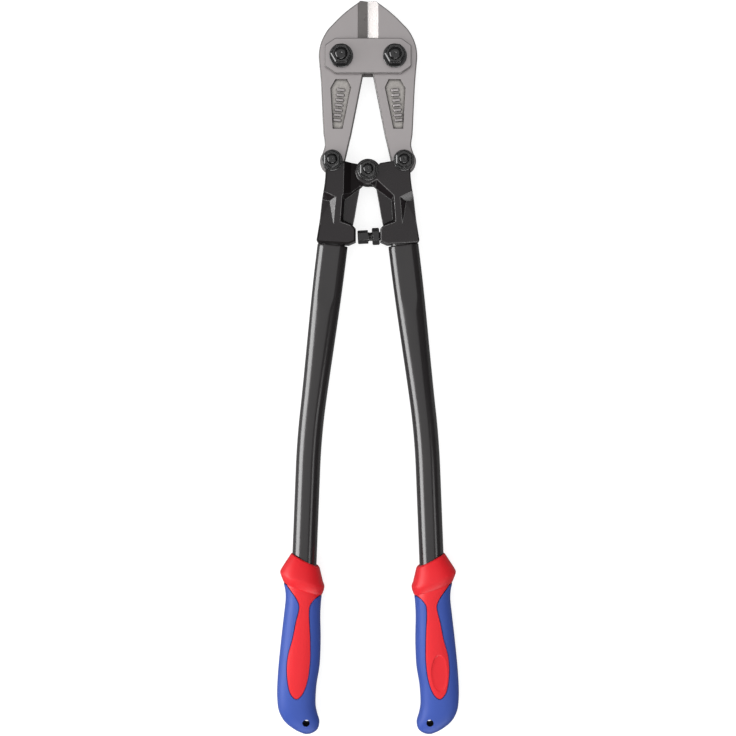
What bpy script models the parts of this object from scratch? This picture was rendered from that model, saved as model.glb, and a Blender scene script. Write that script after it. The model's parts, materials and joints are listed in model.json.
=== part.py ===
# Bolt cutters, 24 inch class, lying flat with the jaws closed and pointing along +Y.
# Metres, +Z up. The origin is the middle of the footprint, on the surface that they lie on.
# Outlines are written for the right half, x outward from the centre line, and mirrored for the left.

import math

import bmesh
import bpy
from mathutils import Vector

# Driving dimensions
OVERALL_LENGTH = 0.6096
MID_HEIGHT = 0.018            # middle plane of the tool above the surface
GAP = 0.0003                  # running clearance between neighbours

JAW_PIVOT = (0.0222, 0.2578)
TOGGLE_PIVOT = (0.0296, 0.1713)
CENTRE_PIVOT = (0.0, 0.1633)

JAW_HALF = 0.0050             # half thickness of a jaw
PLATE_THICKNESS = 0.0042
PLATE_LOW = JAW_HALF + GAP
PLATE_HIGH = PLATE_LOW + PLATE_THICKNESS
PLATE_HALF_WIDTH = 0.0359
PLATE_TOP = 0.2727
PLATE_BOTTOM = 0.2436
PLATE_CHAMFER = (0.0086, 0.0060)
BEVEL_WIDTH = 0.0075          # plan width of a ground cutting facet
BEVEL_END = 0.2640            # where the ground facets run out under the plates
HEEL_RADIUS = JAW_PIVOT[0] - GAP / 2
EYE_RADIUS = 0.0103
PANEL_DEPTH = 0.0010

JAW_BOLT_RADIUS = 0.0050
JAW_NUT_FLATS = 0.0144
JAW_WASHER_RADIUS = 0.0099
TOGGLE_BOLT_RADIUS = 0.0040
TOGGLE_NUT_FLATS = 0.0130
TOGGLE_WASHER_RADIUS = 0.0087
WASHER_THICKNESS = 0.0016
JAW_NUT_HEIGHT = 0.0082
TOGGLE_NUT_HEIGHT = 0.0068
TOGGLE_HEAD_HEIGHT = 0.0055
BOLT_PROUD = 0.0022           # how far a bolt's tip stands out of its nut
TIP_LENGTH = 0.0012           # length of the rounding at a bolt's tip

BRACKET_HALF = 0.0105
BOSS_RADIUS = 0.0088          # cheek around a toggle pivot
FORK_HUB_RADIUS = 0.0107
FORK_HUB_PLACE = (0.0, 0.1621)
TONGUE_HUB_RADIUS = 0.0096
TONGUE_HALF = 0.0050
SLOT_HALF = TONGUE_HALF + GAP
LINKAGE_PLAY = 0.0021         # free room around the centre bolt in the tongue
POCKET_FLOOR = 0.0030         # height of the inner web faces above the middle plane
NOTCH_DEPTH = 0.0046
SOCKET_DEPTH_Y = 0.1165       # where the tube ends inside the bracket

TUBE_RADIUS = 0.0102
TUBE_WALL = 0.0015
TUBE_OVAL = (0.0124, 0.0076)  # half axes at the bracket
TUBE_NECK = (0.0103, 0.0062)  # half axes of the drawn-down end in the bracket
TUBE_TOP = (0.0294, 0.1024)
TUBE_BEND = (0.0490, -0.0590)
TUBE_LOW = (0.0541, -0.1900)
TUBE_END = (0.0556, -0.2280)
BEND_REACH = 0.026            # length of the bend on each side of its corner
SHOULDER_STEP = 0.0002        # run over which the neck steps up to the full oval

HOLE_PLACE = (0.0512, -0.2937)
HOLE_RADIUS = 0.0030
GRIP_POWER = 2.4              # squareness of a grip's section, 2 being an ellipse
INLAY_FLOOR = 0.0117          # the red panel's underside above the middle plane

SCREW_PLACE = (0.0102, 0.1095)  # where the stop screw enters the bracket's inner face
SCREW_TILT = math.radians(3.0)
SCREW_RADIUS = 0.0038
SCREW_HEAD_FLATS = 0.0100
SCREW_HEAD = (-0.0188, -0.0101)  # head from and to, along the axis from SCREW_PLACE
SCREW_END = 0.0042
SCREW_BORE_END = 0.0068
LOCK_NUT_FLATS = 0.0126
LOCK_NUT = (-0.0068, -0.0007)

ROUND_STEPS = 24
CUT_PAST = 0.02               # how far a cutter runs past what it cuts
HEX_TURN = math.radians(30)   # toggle nuts have a corner towards the jaws

LEFT, RIGHT = -1, 1

for old in list(bpy.data.objects):
    bpy.data.objects.remove(old, do_unlink=True)


# Materials

def finish(name, colour, roughness, metallic):
    material = bpy.data.materials.new(name)
    material.use_nodes = True
    shader = material.node_tree.nodes["Principled BSDF"]
    shader.inputs["Base Color"].default_value = (*colour, 1.0)
    shader.inputs["Roughness"].default_value = roughness
    shader.inputs["Metallic"].default_value = metallic
    material.diffuse_color = (*colour, 1.0)
    return material


forged_steel = finish("forged_steel", (0.36, 0.34, 0.34), 0.45, 0.8)
plate_steel = finish("plate_steel", (0.38, 0.36, 0.36), 0.42, 0.8)
black_oxide = finish("black_oxide", (0.02, 0.02, 0.022), 0.35, 0.7)
black_casting = finish("black_casting", (0.03, 0.028, 0.029), 0.5, 0.2)
black_enamel = finish("black_enamel", (0.03, 0.03, 0.032), 0.3, 0.1)
blue_rubber = finish("blue_rubber", (0.06, 0.12, 0.5), 0.55, 0.0)
red_rubber = finish("red_rubber", (0.82, 0.03, 0.04), 0.5, 0.0)


# Joint frames: one empty on each moving body's axis, nested as the bodies are

def joint_frame(name, place, parent=None):
    empty = bpy.data.objects.new(name, None)
    bpy.context.collection.objects.link(empty)
    world = Vector((place[0], place[1], MID_HEIGHT))
    empty["world"] = world
    if parent:
        empty.parent = parent
        world = world - Vector(parent["world"])
    empty.location = world
    return empty


def on_side(point, side):
    return (side * point[0], point[1])


frames = {"root": joint_frame("link_frame", (0.0, 0.0))}
for side, word in ((LEFT, "left"), (RIGHT, "right")):
    frames[f"{word}_jaw"] = joint_frame(
        f"{word}_jaw_axis", on_side(JAW_PIVOT, side), frames["root"])
    frames[f"{word}_handle"] = joint_frame(
        f"{word}_handle_axis", on_side(TOGGLE_PIVOT, side), frames[f"{word}_jaw"])
frames["screw"] = joint_frame("stop_screw_axis", SCREW_PLACE, frames["right_handle"])


# Mesh helpers. Meshes are modelled with z measured from the tool's middle plane.

def face_outward(bm):
    bmesh.ops.recalc_face_normals(bm, faces=bm.faces)
    if bm.calc_volume(signed=True) < 0:
        bmesh.ops.reverse_faces(bm, faces=bm.faces)


def place(name, bm, frame, material=None):
    face_outward(bm)
    home = Vector(frames[frame]["world"])
    bmesh.ops.translate(bm, verts=bm.verts, vec=(-home.x, -home.y, 0.0))
    mesh = bpy.data.meshes.new(name)
    bm.to_mesh(mesh)
    bm.free()
    mesh.shade_smooth()
    mesh.set_sharp_from_angle(angle=math.radians(35))
    obj = bpy.data.objects.new(name, mesh)
    bpy.context.collection.objects.link(obj)
    obj.parent = frames[frame]
    if material:
        mesh.materials.append(material)
    else:
        obj.hide_render = True
        obj.display_type = 'WIRE'
    return obj


def boolean(obj, tool, operation='DIFFERENCE'):
    modifier = obj.modifiers.new(tool.name, 'BOOLEAN')
    modifier.operation = operation
    modifier.solver = 'EXACT'
    modifier.object = tool


def cutter(name, frame, *shapes):
    bm = bmesh.new()
    for shape in shapes:
        part = bpy.data.meshes.new("cutter_part")
        face_outward(shape)
        shape.to_mesh(part)
        bm.from_mesh(part)
        shape.free()
        bpy.data.meshes.remove(part)
    return place(name, bm, frame)


def arc(centre, radius, start, end, steps):
    points = []
    for i in range(steps + 1):
        angle = math.radians(start + (end - start) * i / steps)
        points.append((centre[0] + radius * math.cos(angle), centre[1] + radius * math.sin(angle)))
    return points


def prism(outline, low, high, side=RIGHT):
    bm = bmesh.new()
    corners = [bm.verts.new((side * x, y, low)) for x, y in outline]
    floor = bm.faces.new(corners)
    grown = bmesh.ops.extrude_face_region(bm, geom=[floor])
    raised = [v for v in grown["geom"] if isinstance(v, bmesh.types.BMVert)]
    bmesh.ops.translate(bm, verts=raised, vec=(0, 0, high - low))
    return bm


def hull(points, side=RIGHT, flip=1):
    bm = bmesh.new()
    for x, y, z in points:
        bm.verts.new((side * x, y, flip * z))
    bmesh.ops.convex_hull(bm, input=bm.verts)
    return bm


def loft(rings, closed=False):
    # extrudes the first ring of points through the others; closed makes a sleeve, else the ends are capped
    bm = bmesh.new()
    verts = [bm.verts.new(p) for p in rings[0]]
    edges = [bm.edges.new((verts[i - 1], verts[i])) for i in range(len(verts))]
    if closed:
        rings = rings + [rings[0]]
    else:
        bmesh.ops.contextual_create(bm, geom=edges)
    for ring in rings[1:]:
        grown = bmesh.ops.extrude_edge_only(bm, edges=edges)["geom"]
        fresh = {v for v in grown if isinstance(v, bmesh.types.BMVert)}
        verts = [next(e.other_vert(v) for e in v.link_edges if e.other_vert(v) in fresh) for v in verts]
        for vert, point in zip(verts, ring):
            vert.co = point
        edges = [e for e in grown if isinstance(e, bmesh.types.BMEdge) and fresh.issuperset(e.verts)]
    if closed:
        bmesh.ops.remove_doubles(bm, verts=bm.verts, dist=1e-6)
    else:
        bmesh.ops.contextual_create(bm, geom=edges)
    return bm


def circle_ring(centre, radius, z, steps=ROUND_STEPS):
    return [(x, y, z) for x, y in arc(centre, radius, 0, 360, steps)[:-1]]


def bore_shape(centre, radius, steps=ROUND_STEPS):
    return loft([circle_ring(centre, radius, z, steps) for z in (-CUT_PAST, CUT_PAST)])


def hexagon_ring(centre, flats, z, steps=ROUND_STEPS, turn=0.0):
    # a hexagon with as many points as a circle ring, so that the two can be bridged
    points = []
    for i in range(steps):
        angle = 2 * math.pi * i / steps
        off_flat = (angle + math.pi / 6) % (math.pi / 3) - math.pi / 6
        reach = flats / 2 / math.cos(math.pi / 6 - abs(off_flat))
        points.append((centre[0] + reach * math.cos(angle + turn),
                       centre[1] + reach * math.sin(angle + turn), z))
    return points


# Jaws

def jaw_outline():
    heel = arc(JAW_PIVOT, HEEL_RADIUS, 180, 206, 5)
    inner = [(0.0044, 0.2421), (0.0141, 0.1930), (0.0150, 0.1897), (0.0172, 0.1801), (0.0187, 0.1738)]
    eye = arc(TOGGLE_PIVOT, EYE_RADIUS, 184, 397, 16)
    outer = [(0.0362, 0.1815), (0.0358, 0.1845), (0.0363, 0.1897), (0.0370, 0.1936), (0.0377, 0.2086),
             (0.0388, 0.2316), (0.0393, 0.2395), (0.0404, 0.2490), (0.0409, 0.2569), (0.0405, 0.2627),
             (0.0389, 0.2692), (0.0370, 0.2741), (0.0343, 0.2795), (0.0292, 0.2849), (0.0234, 0.2910),
             (0.0160, 0.2974), (0.0080, 0.3032), (0.0065, OVERALL_LENGTH / 2)]
    return heel + inner + eye + outer + [(GAP / 2, OVERALL_LENGTH / 2)]


PANEL = [(0.0269, 0.2392), (0.0173, 0.2392), (0.0141, 0.2327),
         (0.0212, 0.1985), (0.0291, 0.1985), (0.0310, 0.2320)]


def cutting_facet(side, flip):
    # wedge that leaves the edge on the middle plane and meets the face BEVEL_WIDTH away
    edge, past = GAP / 2, 0.001
    high = JAW_HALF + past * JAW_HALF / (BEVEL_WIDTH - edge)
    section = [(edge - past, 0.0), (edge, 0.0), (BEVEL_WIDTH + past, high), (edge - past, high)]
    ends = (BEVEL_END, OVERALL_LENGTH / 2 + past)
    return hull([(x, y, z) for x, z in section for y in ends], side, flip)


def jaw(side, word):
    obj = place(f"{word}_jaw", prism(jaw_outline(), -JAW_HALF, JAW_HALF, side),
                f"{word}_jaw", forged_steel)
    pivot, toggle = on_side(JAW_PIVOT, side), on_side(TOGGLE_PIVOT, side)
    bores = cutter(f"{word}_jaw_bores", f"{word}_jaw", bore_shape(pivot, JAW_BOLT_RADIUS + GAP),
                   bore_shape(toggle, TOGGLE_BOLT_RADIUS + GAP))
    facets = cutter(f"{word}_jaw_facets", f"{word}_jaw", *[cutting_facet(side, f) for f in (1, -1)])
    panels = cutter(
        f"{word}_jaw_panels", f"{word}_jaw",
        prism(PANEL, JAW_HALF - PANEL_DEPTH, CUT_PAST, side),
        prism(PANEL, -CUT_PAST, -JAW_HALF + PANEL_DEPTH, side))
    for tool in (bores, facets, panels):
        boolean(obj, tool)


# Link plates

def link_plate(name, low):
    across, along = PLATE_CHAMFER
    corner = [(PLATE_HALF_WIDTH, PLATE_BOTTOM + along), (PLATE_HALF_WIDTH, PLATE_TOP - along),
              (PLATE_HALF_WIDTH - across, PLATE_TOP)]
    outline = [(PLATE_HALF_WIDTH - across, PLATE_BOTTOM)] + corner
    outline += [(-x, y) for x, y in reversed(outline)]
    obj = place(name, prism(outline, low, low + PLATE_THICKNESS), "root", plate_steel)
    bores = cutter(f"{name}_bores", "root", *[
        bore_shape(on_side(JAW_PIVOT, side), JAW_BOLT_RADIUS + GAP) for side in (LEFT, RIGHT)])
    boolean(obj, bores)


# Fasteners: a bolt from below, a washer and a nut above

def bolt(name, frame, centre, radius, flats, turn, head_low, head_high, tip):
    rings = [hexagon_ring(centre, flats, head_low, turn=turn),
             hexagon_ring(centre, flats, head_high, turn=turn),
             circle_ring(centre, radius, head_high),
             circle_ring(centre, radius, tip - TIP_LENGTH),
             circle_ring(centre, radius * 0.75, tip - TIP_LENGTH / 3),
             circle_ring(centre, radius * 0.35, tip)]
    place(name, loft(rings), frame, black_oxide)


def sleeve(name, frame, outer_low, outer_high, inner_high, inner_low):
    place(name, loft([outer_low, outer_high, inner_high, inner_low], closed=True), frame, black_oxide)


def fastener(label, frame, centre, radius, flats, turn, washer_radius, stack_half, head_height, nut_height):
    washer_low = stack_half + GAP
    washer_high = washer_low + WASHER_THICKNESS
    nut_low = washer_high + GAP
    nut_high = nut_low + nut_height
    bore = radius + GAP
    bolt(f"{label}_bolt", frame, centre, radius, flats, turn, -washer_low - head_height, -washer_low,
         nut_high + BOLT_PROUD)
    sleeve(f"{label}_washer", frame,
           circle_ring(centre, washer_radius, washer_low), circle_ring(centre, washer_radius, washer_high),
           circle_ring(centre, bore, washer_high), circle_ring(centre, bore, washer_low))
    sleeve(f"{label}_nut", frame,
           hexagon_ring(centre, flats, nut_low, turn=turn), hexagon_ring(centre, flats, nut_high, turn=turn),
           circle_ring(centre, bore, nut_high), circle_ring(centre, bore, nut_low))


# Handle brackets

def bracket_outline(hub_place, hub_radius):
    boss = arc(TOGGLE_PIVOT, BOSS_RADIUS, -50, 183, 14)
    hub = arc(hub_place, hub_radius, 34, 281, 16)
    inner = [(0.0046, 0.1512), (0.0069, 0.1489), (0.0091, 0.1368), (0.0109, 0.1261),
             (0.0124, 0.1189), (0.0127, 0.1177), (0.0102, 0.1150), (0.0102, 0.1046)]
    bottom = [(0.0160, 0.1021), (0.0412, 0.1036), (0.0426, 0.1054)]
    outer = [(0.0412, 0.1140), (0.0399, 0.1225), (0.0390, 0.1310), (0.0380, 0.1400), (0.0366, 0.1474),
             (0.0355, 0.1557), (0.0350, 0.1635)]
    return boss + [(0.0184, 0.1707), (0.0100, 0.1693)] + hub + inner + bottom + outer


def jaw_slot():
    # where the jaw's eye sits between the cheeks and swings as the handles open
    web = arc(TOGGLE_PIVOT, EYE_RADIUS + 0.0012, 184, 318, 10)
    return [(0.0180, 0.1900), (0.0180, 0.1705)] + web + [(0.0450, 0.1600), (0.0450, 0.1900)]


def pocket(side, flip):
    floor = [(0.0195, 0.1392), (0.0062, 0.1492), (0.0030, 0.1480), (0.0070, 0.1172), (0.0205, 0.1226)]
    rim = [(0.0214, 0.1424), (0.0072, 0.1556), (0.0010, 0.1520), (0.0050, 0.1140), (0.0230, 0.1206)]
    points = [(x, y, POCKET_FLOOR) for x, y in floor]
    points += [(x, y, z) for x, y in rim for z in (BRACKET_HALF, CUT_PAST)]
    return hull(points, side, flip)


def wedge_notch(side, flip):
    rim = [(0.0390, 0.1470), (0.0265, 0.1411), (0.0285, 0.1190), (0.0430, 0.1170)]
    depth = BRACKET_HALF - NOTCH_DEPTH
    points = [(x, y, z) for x, y in rim for z in (BRACKET_HALF, CUT_PAST)]
    points += [(0.0420, 0.1402, depth), (0.0318, 0.1382, depth)]
    return hull(points, side, flip)


def tongue_step(flip):
    # slope from the full thickness down to the tongue that enters the other bracket's fork
    brow = [(0.0192, 0.1850), (0.0204, 0.1400)]
    foot = [(0.0134, 0.1850), (0.0146, 0.1400)]
    far = [(-0.0160, 0.1850), (-0.0160, 0.1400)]
    points = [(x, y, z) for x, y in brow for z in (BRACKET_HALF, CUT_PAST)]
    points += [(x, y, TONGUE_HALF) for x, y in foot + far]
    points += [(x, y, CUT_PAST) for x, y in far]
    return hull(points, LEFT, flip)


def oval_ring(centre, direction, half_axes, steps=ROUND_STEPS):
    # an oval across a line that runs in the tool's plane
    across = Vector((direction[1], -direction[0])).normalized()
    points = []
    for i in range(steps):
        angle = 2 * math.pi * i / steps
        offset = across * half_axes[0] * math.cos(angle)
        points.append((centre[0] + offset.x, centre[1] + offset.y, half_axes[1] * math.sin(angle)))
    return points


def tube_slope(side):
    start, end = on_side(TUBE_TOP, side), on_side(TUBE_BEND, side)
    return (Vector(end) - Vector(start)).normalized()


def tube_point_above(y, side):
    # a point on the tube's upper centre line, carried on past its shoulder
    start = Vector(on_side(TUBE_TOP, side))
    slope = tube_slope(side)
    return start + slope * ((y - start.y) / slope.y)


def bracket(side, word):
    frame = f"{word}_handle"
    fork = side == RIGHT
    hub = (FORK_HUB_PLACE, FORK_HUB_RADIUS) if fork else (CENTRE_PIVOT, TONGUE_HUB_RADIUS)
    obj = place(f"{word}_bracket", prism(bracket_outline(*hub), -BRACKET_HALF, BRACKET_HALF, side),
                frame, black_casting)
    toggle = on_side(TOGGLE_PIVOT, side)
    slope = tube_slope(side)
    socket_axes = [half + GAP for half in TUBE_NECK]
    ends = [tube_point_above(y, side) for y in (TUBE_TOP[1] - CUT_PAST / 2, SOCKET_DEPTH_Y + GAP)]
    centre_bore = TOGGLE_BOLT_RADIUS + (GAP if fork else LINKAGE_PLAY + GAP)
    tools = [
        cutter(f"{word}_bracket_slot", frame, prism(jaw_slot(), -SLOT_HALF, SLOT_HALF, side)),
        cutter(f"{word}_bracket_pockets", frame, *[pocket(side, f) for f in (1, -1)]),
        cutter(f"{word}_bracket_notches", frame, *[wedge_notch(side, f) for f in (1, -1)]),
        cutter(f"{word}_bracket_socket", frame, loft([oval_ring(e, slope, socket_axes) for e in ends])),
        cutter(f"{word}_bracket_bores", frame, bore_shape(toggle, TOGGLE_BOLT_RADIUS + GAP),
               bore_shape(CENTRE_PIVOT, centre_bore))]
    if fork:
        room = TONGUE_HUB_RADIUS + LINKAGE_PLAY + 2 * GAP
        fork_slot = loft([circle_ring(CENTRE_PIVOT, room, z) for z in (-SLOT_HALF, SLOT_HALF)])
        tools.append(cutter("fork_slot", frame, fork_slot))
        screw_bore = [screw_ring(along, SCREW_RADIUS + GAP) for along in (LOCK_NUT[0], SCREW_BORE_END)]
        tools.append(cutter("stop_screw_bore", frame, loft(screw_bore)))
    else:
        tools.append(cutter("tongue_steps", frame, *[tongue_step(f) for f in (1, -1)]))
    for tool in tools:
        boolean(obj, tool)


# Stop screw and its lock nut, along an axis that rises slightly towards the right bracket

SCREW_AXIS = Vector((math.cos(SCREW_TILT), math.sin(SCREW_TILT), 0.0))
SCREW_ACROSS = Vector((-math.sin(SCREW_TILT), math.cos(SCREW_TILT), 0.0))


def screw_ring(along, radius, flats=None):
    # a ring around the screw's axis, along metres into the bracket from its inner face
    base = Vector((*SCREW_PLACE, 0.0)) + SCREW_AXIS * along
    flat_ring = hexagon_ring((0, 0), flats, 0) if flats else circle_ring((0, 0), radius, 0)
    return [base + SCREW_ACROSS * u + Vector((0, 0, v)) for u, v, _ in flat_ring]


def stop_screw():
    head, neck = SCREW_HEAD
    rings = [screw_ring(head, 0, SCREW_HEAD_FLATS), screw_ring(neck, 0, SCREW_HEAD_FLATS),
             screw_ring(neck, SCREW_RADIUS), screw_ring(SCREW_END - TIP_LENGTH, SCREW_RADIUS),
             screw_ring(SCREW_END, SCREW_RADIUS * 0.75)]
    place("stop_screw", loft(rings), "screw", black_oxide)
    near, far = LOCK_NUT
    bore = SCREW_RADIUS + GAP
    sleeve("lock_nut", "right_handle",
           screw_ring(near, 0, LOCK_NUT_FLATS), screw_ring(far, 0, LOCK_NUT_FLATS),
           screw_ring(far, bore), screw_ring(near, bore))


# Handle tubes: oval where they leave the bracket, round below the bend

def tube_section(share):
    # the oval turns into a circle as share goes from 0 at the bracket to 1 past the bend
    return tuple(a + (TUBE_RADIUS - a) * share for a in TUBE_OVAL)


def tube_stations(side):
    # centre, direction and half axes, from the end in the bracket to the end in the grip
    top, bend = Vector(on_side(TUBE_TOP, side)), Vector(on_side(TUBE_BEND, side))
    low, end = Vector(on_side(TUBE_LOW, side)), Vector(on_side(TUBE_END, side))
    upper, lower = (bend - top).normalized(), (low - bend).normalized()
    stations = [(tube_point_above(SOCKET_DEPTH_Y, side), upper, TUBE_NECK),
                (top + upper * SHOULDER_STEP, upper, TUBE_NECK)]
    start, stop = bend - upper * BEND_REACH, bend + lower * BEND_REACH
    shoulder = top + upper * SHOULDER_STEP * 3
    for along in (0.0, 0.1, 0.35, 0.6, 0.85, 1.0):
        stations.append((shoulder.lerp(start, along), upper, tube_section(max(0.0, along - 0.1))))
    for turned in (0.25, 0.5, 0.75, 1.0):
        point = start.lerp(bend, turned).lerp(bend.lerp(stop, turned), turned)
        stations.append((point, upper.lerp(lower, turned), tube_section(0.9 + 0.1 * turned)))
    stations.append((low, lower, tube_section(1.0)))
    stations.append((end, end - low, tube_section(1.0)))
    return stations


def tube(side, word):
    stations = tube_stations(side)
    outer = [oval_ring(*station) for station in stations]
    inner = [oval_ring(centre, direction, [a - TUBE_WALL for a in axes])
             for centre, direction, axes in reversed(stations)]
    place(f"{word}_tube", loft(outer + inner, closed=True), f"{word}_handle", black_enamel)


# Grips: a red collar with a long inlaid panel on each face, and a blue body around them

def grip_ring(outer, inner, half, side):
    # a rounded section between an outer and an inner edge point
    middle = (Vector(outer) + Vector(inner)) / 2
    reach = (Vector(outer) - Vector(inner)) / 2
    points = []
    for i in range(ROUND_STEPS):
        angle = 2 * math.pi * i / ROUND_STEPS
        c, s = math.cos(angle), math.sin(angle)
        u = math.copysign(abs(c) ** (2 / GRIP_POWER), c)
        v = math.copysign(abs(s) ** (2 / GRIP_POWER), s)
        spot = middle + reach * u
        points.append((side * spot.x, spot.y, half * v))
    return points


# outer edge, inner edge and half thickness of each section, down the handle
COLLAR_RINGS = [((0.0636, -0.1540), (0.0404, -0.1660), 0.0128),
                ((0.0716, -0.1662), (0.0375, -0.1783), 0.0171),
                ((0.0734, -0.1695), (0.0361, -0.1820), 0.0180),
                ((0.0722, -0.1731), (0.0368, -0.1852), 0.0172),
                ((0.0702, -0.1782), (0.0384, -0.1893), 0.0152)]

BODY_RINGS = [((0.0690, -0.1735), (0.0394, -0.1852), 0.0142),
              ((0.0700, -0.1790), (0.0386, -0.1895), 0.0150),
              ((0.0689, -0.1850), (0.0390, -0.1935), 0.0150),
              ((0.0686, -0.1930), (0.0394, -0.1990), 0.0150),
              ((0.0699, -0.2050), (0.0397, -0.2080), 0.0150),
              ((0.0723, -0.2260), (0.0394, -0.2270), 0.0151),
              ((0.0745, -0.2480), (0.0402, -0.2470), 0.0150),
              ((0.0756, -0.2650), (0.0426, -0.2620), 0.0146),
              ((0.0755, -0.2765), (0.0435, -0.2720), 0.0140),
              ((0.0743, -0.2850), (0.0436, -0.2810), 0.0132),
              ((0.0711, -0.2919), (0.0421, -0.2885), 0.0122),
              ((0.0667, -0.2968), (0.0405, -0.2940), 0.0108),
              ((0.0606, -0.3011), (0.0412, -0.2992), 0.0088),
              ((0.0567, -0.3031), (0.0434, -0.3022), 0.0064),
              ((0.0532, -OVERALL_LENGTH / 2), (0.0474, -0.3045), 0.0026)]

INLAY = [(0.0740, -0.1745), (0.0690, -0.1768), (0.0622, -0.1855), (0.0589, -0.1901), (0.0567, -0.1950),
         (0.0567, -0.1998), (0.0593, -0.2102), (0.0620, -0.2237), (0.0657, -0.2370), (0.0668, -0.2486),
         (0.0661, -0.2590), (0.0640, -0.2680), (0.0596, -0.2729), (0.0553, -0.2705), (0.0517, -0.2637),
         (0.0493, -0.2546), (0.0480, -0.2436), (0.0477, -0.2345), (0.0480, -0.2193), (0.0487, -0.2062),
         (0.0484, -0.1977), (0.0470, -0.1943), (0.0433, -0.1902), (0.0370, -0.1868), (0.0365, -0.1840)]
SKIRT = INLAY[:4] + INLAY[-3:]  # under the collar the red goes right through, face to face


def widened(outline, by):
    # the outline moved outward by a distance, corner by corner
    total = len(outline)
    area = sum(outline[i - 1][0] * outline[i][1] - outline[i][0] * outline[i - 1][1] for i in range(total))
    turn = 1 if area > 0 else -1
    points = []
    for i in range(total):
        before, here, after = (Vector(outline[(i + k) % total]) for k in (-1, 0, 1))
        first, second = (here - before).normalized(), (after - here).normalized()
        normal = Vector((first.y + second.y, -first.x - second.x)).normalized() * turn
        spread = 1 / max(0.5, normal.dot(Vector((first.y, -first.x)) * turn))
        moved = here + normal * by * spread
        points.append((moved.x, moved.y))
    return points


def panel_blocks(outline, floor, side):
    return [prism(outline, floor, CUT_PAST, side), prism(outline, -CUT_PAST, -floor, side)]


def tube_bore(side, radius):
    low, end = Vector(on_side(TUBE_LOW, side)), Vector(on_side(TUBE_END, side))
    bend = Vector(on_side(TUBE_BEND, side))
    lower, last = (low - bend).normalized(), (end - low).normalized()
    rings = [(low - lower * 0.050, lower), (low, lower), (end + last * GAP, last)]
    return loft([oval_ring(c, d, (radius, radius)) for c, d in rings])


def red_room(name, frame, outline, skirt, floor, side):
    # the space that the red takes in the grip's whole form: a panel on each face, and the skirt
    room = cutter(f"{name}_panels", frame, *panel_blocks(outline, floor, side))
    boolean(room, cutter(f"{name}_skirt", frame, prism(skirt, -CUT_PAST, CUT_PAST, side)), 'UNION')
    return room


def above_collar_edge(side):
    # everything on the jaws' side of the collar's lower edge
    outer, inner, _ = COLLAR_RINGS[-1]
    along = (Vector(outer) - Vector(inner)).normalized()
    square = Vector((-along.y, along.x))
    low_edge = [Vector(inner) - along * CUT_PAST - square * GAP, Vector(outer) + along * CUT_PAST - square * GAP]
    outline = low_edge + [p + square * CUT_PAST for p in reversed(low_edge)]
    return prism([tuple(p) for p in outline], -CUT_PAST, CUT_PAST, side)


def grip(side, word):
    frame = f"{word}_handle"
    body_rings = [grip_ring(*ring, side) for ring in BODY_RINGS]
    collar = place(f"{word}_collar", loft([grip_ring(*ring, side) for ring in COLLAR_RINGS]),
                   frame, red_rubber)
    inlay = cutter(f"{word}_inlay", frame, loft(body_rings))
    boolean(inlay, red_room(f"{word}_red", frame, INLAY, SKIRT, INLAY_FLOOR, side), 'INTERSECT')
    boolean(collar, inlay, 'UNION')
    bore = cutter(f"{word}_grip_bore", frame, tube_bore(side, TUBE_RADIUS + GAP))
    boolean(collar, bore)

    body = place(f"{word}_grip", loft(body_rings), frame, blue_rubber)
    tools = [
        red_room(f"{word}_recess", frame, widened(INLAY, GAP), widened(SKIRT, GAP),
                 INLAY_FLOOR - GAP, side),
        cutter(f"{word}_collar_room", frame, above_collar_edge(side)),
        bore,
        cutter(f"{word}_hanging_hole", frame, bore_shape(on_side(HOLE_PLACE, side), HOLE_RADIUS, 16))]
    for tool in tools:
        boolean(body, tool)


# Assembly

for side, word in ((LEFT, "left"), (RIGHT, "right")):
    jaw(side, word)
    bracket(side, word)
    tube(side, word)
    grip(side, word)

stop_screw()

link_plate("front_link_plate", PLATE_LOW)
link_plate("rear_link_plate", -PLATE_HIGH)

for side, word in ((LEFT, "left"), (RIGHT, "right")):
    fastener(f"{word}_jaw", "root", on_side(JAW_PIVOT, side), JAW_BOLT_RADIUS, JAW_NUT_FLATS, 0.0,
             JAW_WASHER_RADIUS, PLATE_HIGH, MID_HEIGHT - PLATE_HIGH - GAP, JAW_NUT_HEIGHT)
for label, frame, centre in (("left_toggle", "left_handle", on_side(TOGGLE_PIVOT, LEFT)),
                             ("right_toggle", "right_handle", on_side(TOGGLE_PIVOT, RIGHT)),
                             ("centre", "right_handle", CENTRE_PIVOT)):
    fastener(label, frame, centre, TOGGLE_BOLT_RADIUS, TOGGLE_NUT_FLATS, HEX_TURN,
             TOGGLE_WASHER_RADIUS, BRACKET_HALF, TOGGLE_HEAD_HEIGHT, TOGGLE_NUT_HEIGHT)
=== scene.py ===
# Bolt cutters lying on a pale floor, seen from straight above.
# Finer pieces stand in for the frame's plain ones: jaws, plates, fasteners, brackets, tubes and grips.

import json
import math

import bmesh
import bpy
from mathutils import Matrix, Vector


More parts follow.
